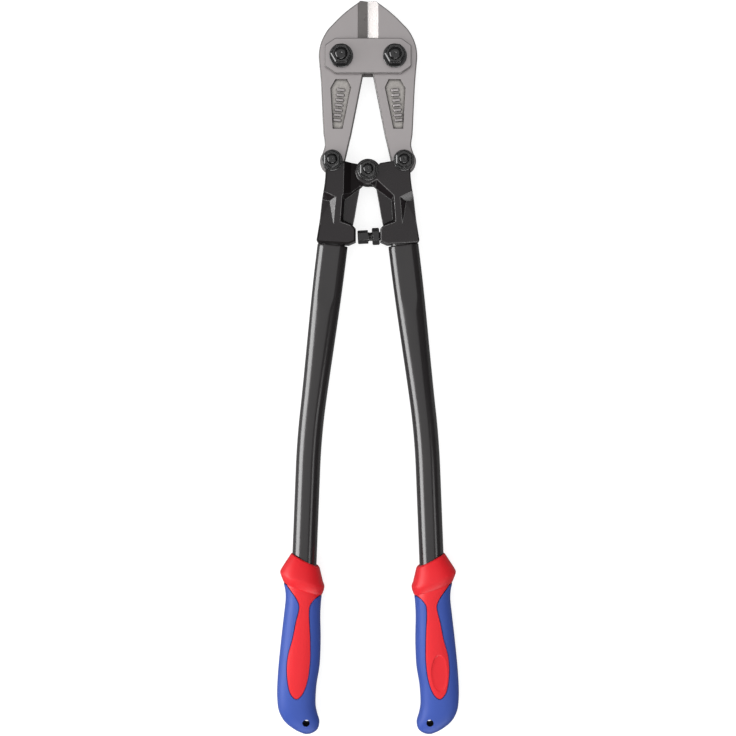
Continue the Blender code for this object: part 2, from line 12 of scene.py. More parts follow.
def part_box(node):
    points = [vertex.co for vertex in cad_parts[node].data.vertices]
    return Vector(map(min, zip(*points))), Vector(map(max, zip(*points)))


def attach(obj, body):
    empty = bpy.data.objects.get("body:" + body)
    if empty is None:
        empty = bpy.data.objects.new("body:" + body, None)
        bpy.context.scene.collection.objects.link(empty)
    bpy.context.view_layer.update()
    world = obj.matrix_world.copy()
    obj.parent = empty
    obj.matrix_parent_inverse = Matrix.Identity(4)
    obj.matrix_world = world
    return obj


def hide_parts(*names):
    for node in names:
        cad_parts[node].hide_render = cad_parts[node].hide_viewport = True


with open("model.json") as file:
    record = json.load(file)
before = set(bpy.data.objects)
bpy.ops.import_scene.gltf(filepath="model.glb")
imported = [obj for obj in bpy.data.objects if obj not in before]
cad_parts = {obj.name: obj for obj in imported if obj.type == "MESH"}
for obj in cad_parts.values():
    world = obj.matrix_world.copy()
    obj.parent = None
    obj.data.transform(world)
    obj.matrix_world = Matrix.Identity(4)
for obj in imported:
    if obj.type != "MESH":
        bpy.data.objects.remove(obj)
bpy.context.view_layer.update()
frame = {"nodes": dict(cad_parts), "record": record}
print("frame loaded,", len(frame["nodes"]), "nodes")

joints = {j["name"]: j for j in frame["record"]["behaviour"]["joints"]}
sideNames = {-1: "left", 1: "right"}


def jointSpot(name):
    return Vector(joints[name]["pos_m"])


jawPivot = jointSpot("right_jaw_hinge")
togglePivot = jointSpot("right_handle_hinge")
midHeight = jawPivot.z
boltLow, boltHigh = (Vector(corner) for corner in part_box("centre_bolt"))
centrePivot = Vector(((boltLow.x + boltHigh.x) / 2, (boltLow.y + boltHigh.y) / 2, midHeight))
jawHalf = (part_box("left_jaw")[1][2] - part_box("left_jaw")[0][2]) / 2
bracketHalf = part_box("left_bracket")[1][2] - midHeight
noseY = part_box("left_jaw")[1][1]
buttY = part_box("left_grip")[0][1]
runningGap = 0.0003
through = 0.02  # from the middle plane to the end of a tool that cuts right through


# Mesh helpers: shapes are made with z measured from the tool's middle plane, for the right-hand side

def faceOutward(bm):
    bmesh.ops.recalc_face_normals(bm, faces=bm.faces)
    if bm.calc_volume(signed=True) < 0:
        bmesh.ops.reverse_faces(bm, faces=bm.faces)


def putInOrder(bm):
    # the operators return their results in no fixed order, so the parts are sorted along a slanting line
    line = Vector((0.531, 0.773, 0.347))
    bm.verts.sort(key=lambda v: v.co.dot(line))
    for parts in (bm.edges, bm.faces):
        parts.sort(key=lambda part: sum(v.co.dot(line) for v in part.verts) / len(part.verts))


def linkedObject(name, bm, materials, lift=midHeight):
    bmesh.ops.translate(bm, verts=bm.verts, vec=(0, 0, lift))
    putInOrder(bm)
    mesh = bpy.data.meshes.new(name)
    bm.to_mesh(mesh)
    bm.free()
    for material in materials:
        mesh.materials.append(material)
    obj = bpy.data.objects.new(name, mesh)
    bpy.context.collection.objects.link(obj)
    return obj


def newObject(name, bm, materials, smoothAngle=38):
    faceOutward(bm)
    obj = linkedObject(name, bm, materials)
    obj.data.shade_smooth()
    obj.data.set_sharp_from_angle(angle=math.radians(smoothAngle))
    return obj


def arcPoints(centre, radius, start, end, steps):
    turns = [math.radians(start + (end - start) * i / steps) for i in range(steps + 1)]
    return [(centre[0] + radius * math.cos(t), centre[1] + radius * math.sin(t)) for t in turns]


def prism(outline, low, high, side=1):
    bm = bmesh.new()
    floorFace = bm.faces.new([bm.verts.new((side * x, y, low)) for x, y in outline])
    grown = bmesh.ops.extrude_face_region(bm, geom=[floorFace])["geom"]
    raised = [v for v in grown if isinstance(v, bmesh.types.BMVert)]
    bmesh.ops.translate(bm, verts=raised, vec=(0, 0, high - low))
    return bm


def rimmedPrism(outline, low, high, rim, side=1, steps=4):
    # a prism with rounded rims; the rims take the second material
    turns = [math.pi / 2 * i / steps for i in range(steps + 1)]
    curve = [(rim * (1 - math.cos(t)), rim * (1 - math.sin(t))) for t in turns]
    levels = [(cut, high - drop) for cut, drop in curve]
    levels = [(cut, low + high - z) for cut, z in reversed(levels)] + levels
    bm = loft([flatRing(widened(outline, -cut), z, side) for cut, z in levels])
    middle = (low + high) / 2
    for face in bm.faces:
        height = abs(face.calc_center_median().z - middle)
        face.material_index = int(high - middle - rim < height < high - middle - 1e-6)
    return bm


def softened(outline, reach, steps=3):
    # the outline with its corners rounded
    total = len(outline)
    result = []
    for i in range(total):
        before, here, after = (Vector(outline[(i + k) % total]) for k in (-1, 0, 1))
        start = here + (before - here).normalized() * reach
        end = here + (after - here).normalized() * reach
        for step in range(steps + 1):
            t = step / steps
            result.append(tuple(start.lerp(here, t).lerp(here.lerp(end, t), t)))
    return result


def hullOf(points, side=1, flip=1):
    bm = bmesh.new()
    for x, y, z in points:
        bm.verts.new((side * x, y, flip * z))
    bmesh.ops.convex_hull(bm, input=bm.verts)
    return bm


def loft(rings, closed=False):
    # extrudes the first ring of points through the others; closed makes a sleeve
    bm = bmesh.new()
    verts = [bm.verts.new(p) for p in rings[0]]
    edges = [bm.edges.new((verts[i - 1], verts[i])) for i in range(len(verts))]
    if closed:
        rings = rings + [rings[0]]
    else:
        bmesh.ops.contextual_create(bm, geom=edges)
    for ring in rings[1:]:
        grown = bmesh.ops.extrude_edge_only(bm, edges=edges)["geom"]
        fresh = {v for v in grown if isinstance(v, bmesh.types.BMVert)}
        verts = [next(e.other_vert(v) for e in v.link_edges if e.other_vert(v) in fresh) for v in verts]
        for vert, point in zip(verts, ring):
            vert.co = point
        edges = [e for e in grown if isinstance(e, bmesh.types.BMEdge) and fresh.issuperset(e.verts)]
    if closed:
        bmesh.ops.remove_doubles(bm, verts=bm.verts, dist=1e-6)
    else:
        bmesh.ops.contextual_create(bm, geom=edges)
    return bm


def splinePoints(points, steps=4):
    # a smooth curve through every point, with steps pieces between two of them
    total = len(points)
    result = []
    for i in range(total - 1):
        near = [points[min(max(i + k, 0), total - 1)] for k in (-1, 0, 1, 2)]
        for step in range(steps):
            t = step / steps
            result.append(tuple(
                0.5 * (2 * b + (c - a) * t + (2 * a - 5 * b + 4 * c - d) * t * t
                       + (3 * b - a - 3 * c + d) * t ** 3) for a, b, c, d in zip(*near)))
    return result + [tuple(points[-1])]


def widened(outline, by):
    # the outline moved outward by a distance, corner by corner
    total = len(outline)
    area = sum(outline[i - 1][0] * outline[i][1] - outline[i][0] * outline[i - 1][1]
               for i in range(total))
    turn = 1 if area > 0 else -1
    result = []
    for i in range(total):
        before, here, after = (Vector(outline[(i + k) % total]) for k in (-1, 0, 1))
        first, second = (here - before).normalized(), (after - here).normalized()
        normal = Vector((first.y + second.y, -first.x - second.x)).normalized() * turn
        spread = 1 / max(0.5, normal.dot(Vector((first.y, -first.x)) * turn))
        result.append(tuple(here + normal * by * spread))
    return result


def flatRing(outline, z, side=1):
    return [(side * x, y, z) for x, y in outline]


def circleRing(centre, radius, z, steps=48):
    return flatRing(arcPoints(centre, radius, 0, 360, steps)[:-1], z)


def boreTool(centre, radius):
    return loft([circleRing(centre, radius, z) for z in (-through, through)])


def joinShapes(*shapes):
    bm = bmesh.new()
    for shape in shapes:
        faceOutward(shape)
        putInOrder(shape)
        part = bpy.data.meshes.new("part")
        shape.to_mesh(part)
        shape.free()
        bm.from_mesh(part)
        bpy.data.meshes.remove(part)
    return bm


def toolObject(name, *shapes, material):
    # one object out of several closed shapes, to cut with or to add
    return linkedObject(name, joinShapes(*shapes), [material])


def applyBooleans(obj, *cuts):
    # cuts are (tool, operation) pairs; the tools are used up
    for tool, operation in cuts:
        modifier = obj.modifiers.new(tool.name, 'BOOLEAN')
        modifier.operation = operation
        modifier.solver = 'EXACT'
        modifier.object = tool
        modifier.material_mode = 'TRANSFER'
    settle(obj)
    for tool in {tool for tool, _ in cuts}:
        bpy.data.objects.remove(tool, do_unlink=True)


def settle(obj):
    evaluated = obj.evaluated_get(bpy.context.evaluated_depsgraph_get())
    mesh = bpy.data.meshes.new_from_object(evaluated)
    obj.modifiers.clear()
    obj.data = mesh
    mesh.name = obj.name


def tidyMesh(obj, smoothAngle=25, dissolve=0.6, weighted=True):
    # merges what the cuts left on flat faces, then shades the mesh smooth up to the sharp angle
    bm = bmesh.new()
    bm.from_mesh(obj.data)
    bmesh.ops.remove_doubles(bm, verts=bm.verts, dist=2e-5)
    bmesh.ops.dissolve_limit(bm, angle_limit=math.radians(dissolve), verts=bm.verts,
                             edges=bm.edges, delimit={'MATERIAL'})
    bm.to_mesh(obj.data)
    bm.free()
    obj.data.shade_smooth()
    obj.data.set_sharp_from_angle(angle=math.radians(smoothAngle))
    if weighted:
        # large flat faces keep their own direction beside the rounded rims
        modifier = obj.modifiers.new("normals", 'WEIGHTED_NORMAL')
        modifier.keep_sharp = True
        settle(obj)


def stand(obj, body, slotName, *nodes):
    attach(obj, body)
    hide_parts(*nodes)


# Node groups shared by several finishes

def newGroup(name, inputs, outputs):
    group = bpy.data.node_groups.new(name, 'ShaderNodeTree')
    for label, kind, value in inputs:
        socket = group.interface.new_socket(label, in_out='INPUT', socket_type=kind)
        if value is not None:
            socket.default_value = value
    for label, kind in outputs:
        group.interface.new_socket(label, in_out='OUTPUT', socket_type=kind)
    return group, group.nodes.new('NodeGroupInput'), group.nodes.new('NodeGroupOutput')


def addNode(tree, kind, settings=None, **values):
    node = tree.nodes.new(kind)
    for key, value in (settings or {}).items():
        setattr(node, key, value)
    for key, value in values.items():
        node.inputs[key.replace('_', ' ')].default_value = value
    return node


def makeGrainGroup():
    # two sizes of noise on the piece's own place: a value for colour and roughness, a height for bump
    group, entry, leave = newGroup(
        "surfaceGrain",
        [("Coarse Scale", 'NodeSocketFloat', 60.0), ("Fine Scale", 'NodeSocketFloat', 1400.0)],
        [("Mottle", 'NodeSocketFloat'), ("Height", 'NodeSocketFloat')])
    place = addNode(group, 'ShaderNodeTexCoord')
    coarse = addNode(group, 'ShaderNodeTexNoise', Roughness=0.6, Detail=3.0)
    fine = addNode(group, 'ShaderNodeTexNoise', Roughness=0.65, Detail=3.0)
    group.links.new(place.outputs['Object'], coarse.inputs['Vector'])
    group.links.new(place.outputs['Object'], fine.inputs['Vector'])
    group.links.new(entry.outputs['Coarse Scale'], coarse.inputs['Scale'])
    group.links.new(entry.outputs['Fine Scale'], fine.inputs['Scale'])
    group.links.new(coarse.outputs['Fac'], leave.inputs['Mottle'])
    group.links.new(fine.outputs['Fac'], leave.inputs['Height'])
    return group


def makeEdgeWearAndLightGroup():
    # a mask that is white along edges, where a rounded normal leaves the true one, broken up by noise;
    # the colour laid on it is edge wear together with painted highlight and painted shade
    group, entry, leave = newGroup(
        "edgeWear",
        [("Reach", 'NodeSocketFloat', 0.0004), ("Break Up", 'NodeSocketFloat', 0.5)],
        [("Mask", 'NodeSocketFloat')])
    rounded = addNode(group, 'ShaderNodeBevel', {'samples': 6})
    geometry = addNode(group, 'ShaderNodeNewGeometry')
    match = addNode(group, 'ShaderNodeVectorMath', {'operation': 'DOT_PRODUCT'})
    edge = addNode(group, 'ShaderNodeMapRange', {'clamp': True}, From_Min=1.0, From_Max=0.92)
    place = addNode(group, 'ShaderNodeTexCoord')
    noise = addNode(group, 'ShaderNodeTexNoise', Scale=520.0, Detail=4.0)
    chips = addNode(group, 'ShaderNodeMapRange', {'clamp': True}, From_Min=0.35, From_Max=0.65)
    blend = addNode(group, 'ShaderNodeMix', {'data_type': 'FLOAT'})
    blend.inputs[2].default_value = 1.0
    mask = addNode(group, 'ShaderNodeMath', {'operation': 'MULTIPLY', 'use_clamp': True})
    group.links.new(entry.outputs['Reach'], rounded.inputs['Radius'])
    group.links.new(rounded.outputs['Normal'], match.inputs[0])
    group.links.new(geometry.outputs['Normal'], match.inputs[1])
    group.links.new(match.outputs['Value'], edge.inputs['Value'])
    group.links.new(place.outputs['Object'], noise.inputs['Vector'])
    group.links.new(noise.outputs['Fac'], chips.inputs['Value'])
    group.links.new(entry.outputs['Break Up'], blend.inputs[0])
    group.links.new(chips.outputs['Result'], blend.inputs[3])
    group.links.new(edge.outputs['Result'], mask.inputs[0])
    group.links.new(blend.outputs[0], mask.inputs[1])
    group.links.new(mask.outputs[0], leave.inputs['Mask'])
    return group


def makeRecessShadeGroup():
    # a mask that is white in corners and recesses, where it paints shade
    group, entry, leave = newGroup(
        "crevices", [("Reach", 'NodeSocketFloat', 0.0012)], [("Mask", 'NodeSocketFloat')])
    hidden = addNode(group, 'ShaderNodeAmbientOcclusion', {'samples': 6, 'only_local': True})
    fade = addNode(group, 'ShaderNodeMapRange', {'clamp': True}, From_Min=0.94, From_Max=0.72)
    group.links.new(entry.outputs['Reach'], hidden.inputs['Distance'])
    group.links.new(hidden.outputs['AO'], fade.inputs['Value'])
    group.links.new(fade.outputs['Result'], leave.inputs['Mask'])
    return group


grainGroup = makeGrainGroup()
edgeWearAndLightGroup = makeEdgeWearAndLightGroup()
recessShadeGroup = makeRecessShadeGroup()


def layered(tree, colour, mask, layerColour):
    # lays a colour over another one where the mask is white
    blend = addNode(tree, 'ShaderNodeMix', {'data_type': 'RGBA'})
    blend.inputs[7].default_value = (*layerColour, 1)
    tree.links.new(mask, blend.inputs[0])
    tree.links.new(colour, blend.inputs[6])
    return blend.outputs[2]


def makeFinish(name, look):
    # colour mottle, roughness range, grain bump, worn edges with painted highlight and shade, and
    # painted shade in recesses, all set by one dictionary
    material = bpy.data.materials.new(name)
    material.use_nodes = True
    tree = material.node_tree
    shader = tree.nodes['Principled BSDF']
    shader.inputs['Metallic'].default_value = look['metallic']
    shader.inputs['Specular IOR Level'].default_value = look.get('specular', 0.5)
    grain = addNode(tree, 'ShaderNodeGroup', {'node_tree': grainGroup},
                    Coarse_Scale=look['mottleScale'], Fine_Scale=look['grainScale'])
    tint = addNode(tree, 'ShaderNodeMix', {'data_type': 'RGBA'})
    tint.inputs[6].default_value = (*look['colour'], 1)
    tint.inputs[7].default_value = (*look['mottleColour'], 1)
    tree.links.new(grain.outputs['Mottle'], tint.inputs[0])
    colour = tint.outputs[2]
    # worn edges, which also carry painted highlights and painted shade along them
    if 'wearColour' in look:
        edgeWearAndLightNode = addNode(tree, 'ShaderNodeGroup', {'node_tree': edgeWearAndLightGroup}, Reach=look['wearReach'],
                       Break_Up=look['wearBreakUp'])
        colour = layered(tree, colour, edgeWearAndLightNode.outputs['Mask'], look['wearColour'])
    # painted shade in corners and recesses
    if 'grimeColour' in look:
        crevices = addNode(tree, 'ShaderNodeGroup', {'node_tree': recessShadeGroup},
                           Reach=look['grimeReach'])
        colour = layered(tree, colour, crevices.outputs['Mask'], look['grimeColour'])
    tree.links.new(colour, shader.inputs['Base Color'])
    low, high = look['roughness']
    rough = addNode(tree, 'ShaderNodeMapRange', {'clamp': True}, From_Min=0.3, From_Max=0.7,
                    To_Min=low, To_Max=high)
    tree.links.new(grain.outputs['Mottle'], rough.inputs['Value'])
    tree.links.new(rough.outputs['Result'], shader.inputs['Roughness'])
    bump = addNode(tree, 'ShaderNodeBump', Strength=look['bump'], Distance=look['bumpDistance'])
    tree.links.new(grain.outputs['Height'], bump.inputs['Height'])
    if 'edgeRound' in look:
        edges = addNode(tree, 'ShaderNodeBevel', {'samples': 6}, Radius=look['edgeRound'])
        tree.links.new(edges.outputs['Normal'], bump.inputs['Normal'])
    tree.links.new(bump.outputs['Normal'], shader.inputs['Normal'])
    return material


# forged steel, with painted shade in its corners and recesses
forgedSteel = makeFinish("forgedSteel", {
    'colour': (0.355, 0.330, 0.332), 'mottleColour': (0.405, 0.380, 0.380), 'metallic': 0.75,
    'roughness': (0.32, 0.40),
    'mottleScale': 38.0, 'grainScale': 2600.0, 'bump': 0.20, 'bumpDistance': 0.0001,
    'grimeColour': (0.050, 0.046, 0.044), 'grimeReach': 0.0014})
# a darker, duller copy of the forged steel for the rounded rims: painted shade along the edges
forgedRim = makeFinish("forgedRim", {
    'colour': (0.135, 0.126, 0.124), 'mottleColour': (0.165, 0.155, 0.152), 'metallic': 0.15,
    'roughness': (0.36, 0.44),
    'mottleScale': 90.0, 'grainScale': 2600.0, 'bump': 0.20, 'bumpDistance': 0.0001})
# ground facets, with a dark line of painted shade along their edges
groundSteel = makeFinish("groundSteel", {
    'colour': (0.29, 0.270, 0.265), 'mottleColour': (0.35, 0.330, 0.322), 'metallic': 0.40,
    'roughness': (0.26, 0.32), 'mottleScale': 60.0, 'grainScale': 900.0, 'bump': 0.03,
    'bumpDistance': 0.00005,
    'wearColour': (0.015, 0.014, 0.014), 'wearReach': 0.00045, 'wearBreakUp': 0.1})
# rough steel for the jaw panels, with painted shade in their corners
castSteel = makeFinish("castSteel", {
    'colour': (0.29, 0.272, 0.255), 'mottleColour': (0.50, 0.475, 0.455), 'metallic': 0.65,
    'roughness': (0.36, 0.50),
    'mottleScale': 620.0, 'grainScale': 1100.0, 'bump': 0.9, 'bumpDistance': 0.0003,
    'grimeColour': (0.022, 0.020, 0.019), 'grimeReach': 0.0026})
# black oxide fasteners: light worn edges that also serve as painted highlights, and painted shade in the
# recesses
blackOxide = makeFinish("blackOxide", {
    'colour': (0.006, 0.006, 0.0065), 'mottleColour': (0.010, 0.0096, 0.010),
    'metallic': 0.0, 'specular': 0.55, 'roughness': (0.14, 0.20),
    'mottleScale': 240.0, 'grainScale': 1800.0, 'bump': 0.08, 'bumpDistance': 0.0001,
    'wearColour': (0.30, 0.295, 0.29), 'wearReach': 0.00022, 'wearBreakUp': 0.4, 'edgeRound': 0.00025,
    'grimeColour': (0.003, 0.003, 0.003), 'grimeReach': 0.0016})
# black casting: light worn edges that also serve as painted highlights, and painted shade in the
# recesses
blackCasting = makeFinish("blackCasting", {
    'colour': (0.0085, 0.0058, 0.0068), 'mottleColour': (0.0130, 0.0100, 0.0112),
    'metallic': 0.0, 'specular': 0.40, 'roughness': (0.22, 0.30),
    'mottleScale': 60.0, 'grainScale': 1500.0, 'bump': 0.18, 'bumpDistance': 0.00012,
    'wearColour': (0.30, 0.295, 0.295), 'wearReach': 0.0009, 'wearBreakUp': 0.4, 'edgeRound': 0.0005,
    'grimeColour': (0.004, 0.0036, 0.0036), 'grimeReach': 0.0020})
# a duller copy of the casting's black for the tongue's cut faces: painted shade under the right
# bracket's fork
slideBlack = makeFinish("slideBlack", {
    'colour': (0.0085, 0.0068, 0.0070), 'mottleColour': (0.0105, 0.0085, 0.0088),
    'metallic': 0.0, 'specular': 0.06, 'roughness': (0.42, 0.50),
    'mottleScale': 60.0, 'grainScale': 1300.0, 'bump': 0.10, 'bumpDistance': 0.0001})
blackEnamel = makeFinish("blackEnamel", {
    'colour': (0.0175, 0.0155, 0.0162), 'mottleColour': (0.0225, 0.0200, 0.0208),
    'metallic': 0.0, 'specular': 0.5, 'roughness': (0.19, 0.23),
    'mottleScale': 30.0, 'grainScale': 500.0, 'bump': 0.03, 'bumpDistance': 0.00008})
blueRubber = makeFinish("blueRubber", {
    'colour': (0.043, 0.088, 0.385), 'mottleColour': (0.051, 0.100, 0.415),
    'metallic': 0.0, 'specular': 0.12, 'roughness': (0.42, 0.50),
    'mottleScale': 40.0, 'grainScale': 1100.0, 'bump': 0.14, 'bumpDistance': 0.00015})
redRubber = makeFinish("redRubber", {
    'colour': (0.74, 0.012, 0.020), 'mottleColour': (0.79, 0.015, 0.024),
    'metallic': 0.0, 'specular': 0.20, 'roughness': (0.42, 0.50),
    'mottleScale': 40.0, 'grainScale': 1100.0, 'bump': 0.14, 'bumpDistance': 0.00015})
# near-black for the hanging hole's walls: painted shade inside the deep hole
coreBlack = makeFinish("coreBlack", {
    'colour': (0.006, 0.006, 0.008), 'mottleColour': (0.010, 0.010, 0.012),
    'metallic': 0.0, 'specular': 0.2, 'roughness': (0.6, 0.7),
    'mottleScale': 90.0, 'grainScale': 900.0, 'bump': 0.1, 'bumpDistance': 0.0002})
print("finishes made")


# Jaws

jawLook = {
    'bevelReach': 0.0075, 'bevelRise': 0.0044, 'secondReach': 0.0086,
    'bevelEnd': 0.2640, 'land': 0.0002, 'rim': 0.0010,
    'eyeRadius': 0.0103, 'heelRadius': jawPivot.x - runningGap / 2, 'bores': (0.0053, 0.0043),
    'panelDepth': 0.0011, 'panelSlope': 0.0005, 'barCount': 7, 'barSize': (0.0062, 0.0019),
    'barRise': 0.0008, 'barRound': 0.0002, 'barStart': (0.0224, 0.2305), 'barEnd': (0.0256, 0.2055)}

jawPanel = [(0.0269, 0.2392), (0.0173, 0.2392), (0.0141, 0.2327),
            (0.0212, 0.1985), (0.0291, 0.1985), (0.0310, 0.2320)]


def jawOutline():
    heel = arcPoints(jawPivot, jawLook['heelRadius'], 180, 206, 6)
    inner = splinePoints([(0.0150, 0.1897), (0.0172, 0.1801), (0.0187, 0.1738)], 3)
    eye = arcPoints(togglePivot, jawLook['eyeRadius'], 184, 396, 36)
    flank = splinePoints([(0.0366, 0.1812), (0.0359, 0.1845), (0.0362, 0.1885), (0.0370, 0.1936)], 4)
    crown = splinePoints([
        (0.0370, 0.1936), (0.0379, 0.2110), (0.0388, 0.2316), (0.0397, 0.2440), (0.0405, 0.2525),
        (0.0409, 0.2590), (0.0403, 0.2650), (0.0389, 0.2702), (0.0369, 0.2748), (0.0334, 0.2806),
        (0.0290, 0.2853), (0.0233, 0.2911), (0.0160, 0.2974), (0.0080, 0.3032)], 4)
    nose = [(0.0066, noseY - 0.0003), (0.0060, noseY), (runningGap / 2, noseY)]
    return heel + [(0.0044, 0.2421), (0.0141, 0.1930)] + inner + eye + flank + crown[1:] + nose


def bevelTool(side, flip):
    # the two ground facets beside the cutting edge
    edge, past, land = runningGap / 2, 0.002, jawLook['land']
    far, over = jawLook['secondReach'], jawHalf + past
    section = [(edge - past, land), (edge, land), (jawLook['bevelReach'], jawLook['bevelRise']),
               (far, jawHalf + 0.00002), (far, over), (edge - past, over)]
    return loft([[(side * x, y, flip * z) for x, z in section]
                 for y in (jawLook['bevelEnd'], noseY + past)])


def panelTool(side, flip):
    floorZ = jawHalf - jawLook['panelDepth']
    slope = jawLook['panelSlope'] / 2
    rings = [flatRing(widened(jawPanel, -slope), flip * floorZ, side),
             flatRing(widened(jawPanel, slope), flip * jawHalf, side),
             flatRing(widened(jawPanel, slope + 0.0001), flip * (jawHalf + 0.001), side)]
    return loft(rings)


def panelBars(side, flip):
    # a row of plain raised bars down the panel
    bars = []
    start, end = Vector(jawLook['barStart']), Vector(jawLook['barEnd'])
    width, height = jawLook['barSize']
    soft = jawLook['barRound']
    floorZ = jawHalf - jawLook['panelDepth']
    low, high = floorZ - 0.0004, floorZ + jawLook['barRise']
    down = (end - start).normalized()
    across = Vector((-down.y, down.x))
    for i in range(jawLook['barCount']):
        centre = start.lerp(end, i / (jawLook['barCount'] - 1))
        foot = [tuple(centre + across * sx * width / 2 + down * sy * height / 2)
                for sx, sy in ((1, 1), (-1, 1), (-1, -1), (1, -1))]
        head = widened(foot, -soft)
        bars.append(loft([flatRing(foot, flip * low, side), flatRing(foot, flip * (high - soft), side),
                          flatRing(head, flip * high, side)]))
    return bars


def makeJaw(side):
    word = sideNames[side]
    bm = rimmedPrism(jawOutline(), -jawHalf, jawHalf, jawLook['rim'], side)
    jaw = newObject(f"{word}JawForging", bm, [forgedSteel, forgedRim])
    spots = [(side * p.x, p.y) for p in (jawPivot, togglePivot)]
    bores = toolObject("bores", *[boreTool(p, r) for p, r in zip(spots, jawLook['bores'])],
                       material=forgedSteel)
    bevels = toolObject("bevels", *[bevelTool(side, f) for f in (1, -1)], material=groundSteel)
    panels = toolObject("panels", *[panelTool(side, f) for f in (1, -1)], material=castSteel)
    bars = toolObject("bars", *[b for f in (1, -1) for b in panelBars(side, f)], material=forgedSteel)
    applyBooleans(jaw, (bores, 'DIFFERENCE'), (bevels, 'DIFFERENCE'), (panels, 'DIFFERENCE'),
                  (bars, 'UNION'))
    tidyMesh(jaw)
    stand(jaw, f"{word}_jaw", "forged_steel", f"{word}_jaw")
    print(word, "jaw made")


# Link plates

plateLook = {
    'halfWidth': 0.0359, 'top': 0.2727, 'bottom': 0.2436, 'corner': (0.0086, 0.0060),
    'cornerRound': 0.0010, 'rim': 0.0007}


def makePlate(name, node):
    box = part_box(node)
    low, high = box[0][2] - midHeight, box[1][2] - midHeight
    across, along = plateLook['corner']
    wide = plateLook['halfWidth']
    half = [(wide - across, plateLook['bottom']), (wide, plateLook['bottom'] + along),
            (wide, plateLook['top'] - along), (wide - across, plateLook['top'])]
    outline = softened(half + [(-x, y) for x, y in reversed(half)], plateLook['cornerRound'])
    bm = rimmedPrism(outline, low, high, plateLook['rim'], steps=3)
    plate = newObject(name, bm, [forgedSteel, forgedRim])
    bores = toolObject("bores", *[boreTool((s * jawPivot.x, jawPivot.y), jawLook['bores'][0])
                                  for s in (-1, 1)], material=forgedSteel)
    applyBooleans(plate, (bores, 'DIFFERENCE'))
    tidyMesh(plate)
    stand(plate, "links", "plate_steel", node)


# Fasteners

fastenerLook = {
    'cornerCap': 0.985, 'around': 72,
    'chamfer': (0.875, 0.00065),  # the chamfer's inner size as a share of the hexagon, and its drop
    'jaw': {'flats': 0.0151, 'radius': 0.0050, 'pitch': 0.0014, 'flange': None, 'turn': 0},
    'toggle': {'flats': 0.0130, 'radius': 0.0040, 'pitch': 0.0012, 'flange': 0.0080, 'turn': 30}}


def hexReach(angle, flats):
    offFlat = (angle + math.pi / 6) % (math.pi / 3) - math.pi / 6
    corner = flats / math.sqrt(3)
    return min(flats / 2 / math.cos(math.pi / 6 - abs(offFlat)), corner * fastenerLook['cornerCap'])


def hexRing(centre, flats, z):
    turns = [2 * math.pi * i / fastenerLook['around'] for i in range(fastenerLook['around'])]
    return [(centre[0] + hexReach(t, flats) * math.cos(t),
             centre[1] + hexReach(t, flats) * math.sin(t), z) for t in turns]


def fineRing(centre, radius, z):
    return circleRing(centre, radius, z, fastenerLook['around'])


def nutShape(centre, flats, low, high, bore, flange=None):
    lip = 0.0003
    chamfer, drop = fastenerLook['chamfer']
    rings = [fineRing(centre, bore + lip, high), fineRing(centre, bore, high - lip),
             fineRing(centre, bore, low + lip), fineRing(centre, bore + lip, low)]
    if flange:
        rings += [fineRing(centre, flange - 0.0003, low), fineRing(centre, flange, low + 0.0004),
                  fineRing(centre, flange - 0.0002, low + 0.0009),
                  fineRing(centre, flats * 0.585, low + 0.0018), hexRing(centre, flats, low + 0.0019)]
    else:
        rings += [hexRing(centre, flats * chamfer, low), hexRing(centre, flats, low + drop)]
    rings += [hexRing(centre, flats, high - drop), hexRing(centre, flats * chamfer, high)]
    return loft(rings, closed=True)


def threadRings(centre, radius, low, high, pitch):
    # plain V grooves around the shank
    rings = []
    turns = max(1, int((high - low) / pitch))
    for i in range(turns):
        z = low + i * pitch
        rings += [fineRing(centre, radius - pitch * depth, z + pitch * rise)
                  for depth, rise in ((0.0, 0.10), (0.45, 0.5), (0.0, 0.90))]
    return rings


def boltShape(centre, radius, flats, headLow, headHigh, threadLow, tip, pitch):
    chamfer, drop = fastenerLook['chamfer']
    rings = [hexRing(centre, flats * chamfer, headLow), hexRing(centre, flats, headLow + drop),
             hexRing(centre, flats, headHigh), fineRing(centre, radius, headHigh),
             fineRing(centre, radius, threadLow - 0.0002)]
    rings += threadRings(centre, radius, threadLow, tip - 0.0016, pitch)
    dome = [(0.95, 0.0011), (0.84, 0.0005), (0.70, 0.00025), (0.50, 0.0001), (0.30, 0.0),
            (0.20, 0.00005), (0.12, 0.0004)]
    rings += [fineRing(centre, radius * share, tip - drop) for share, drop in dome]
    return loft(rings)


def washerShape(centre, outer, bore, low, high):
    edge = 0.00035
    section = [(bore, low + edge), (bore + edge, low), (outer - edge, low), (outer, low + edge),
               (outer, high - edge), (outer - edge, high), (bore + edge, high), (bore, high - edge)]
    return loft([fineRing(centre, r, z) for r, z in section], closed=True)


def makeFastener(label, body, centre, look):
    bolt, washer, nut = (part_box(f"{label}_{kind}") for kind in ('bolt', 'washer', 'nut'))
    boltLow, boltHigh = (corner[2] - midHeight for corner in bolt)
    washerLow, washerHigh = (corner[2] - midHeight for corner in washer)
    nutLow, nutHigh = (corner[2] - midHeight for corner in nut)
    washerRadius = (washer[1][0] - washer[0][0]) / 2
    bore = look['radius'] + runningGap
    words = label.split("_")
    title = words[0] + "".join(w.capitalize() for w in words[1:])
    shapes = {
        'Bolt': boltShape(centre, look['radius'], look['flats'], boltLow, -washerLow,
                          nutHigh - 0.0012, boltHigh, look['pitch']),
        'Washer': washerShape(centre, washerRadius, bore, washerLow, washerHigh),
        'Nut': nutShape(centre, look['flats'], nutLow, nutHigh, bore, look['flange'])}
    for kind, shape in shapes.items():
        bmesh.ops.rotate(shape, verts=shape.verts, cent=(*centre, 0),
                         matrix=Matrix.Rotation(math.radians(look['turn']), 3, 'Z'))
        stand(newObject(title + kind, shape, [blackOxide], 30), body, "black_oxide",
              f"{label}_{kind.lower()}")
    print(title, "bolt, washer and nut made")


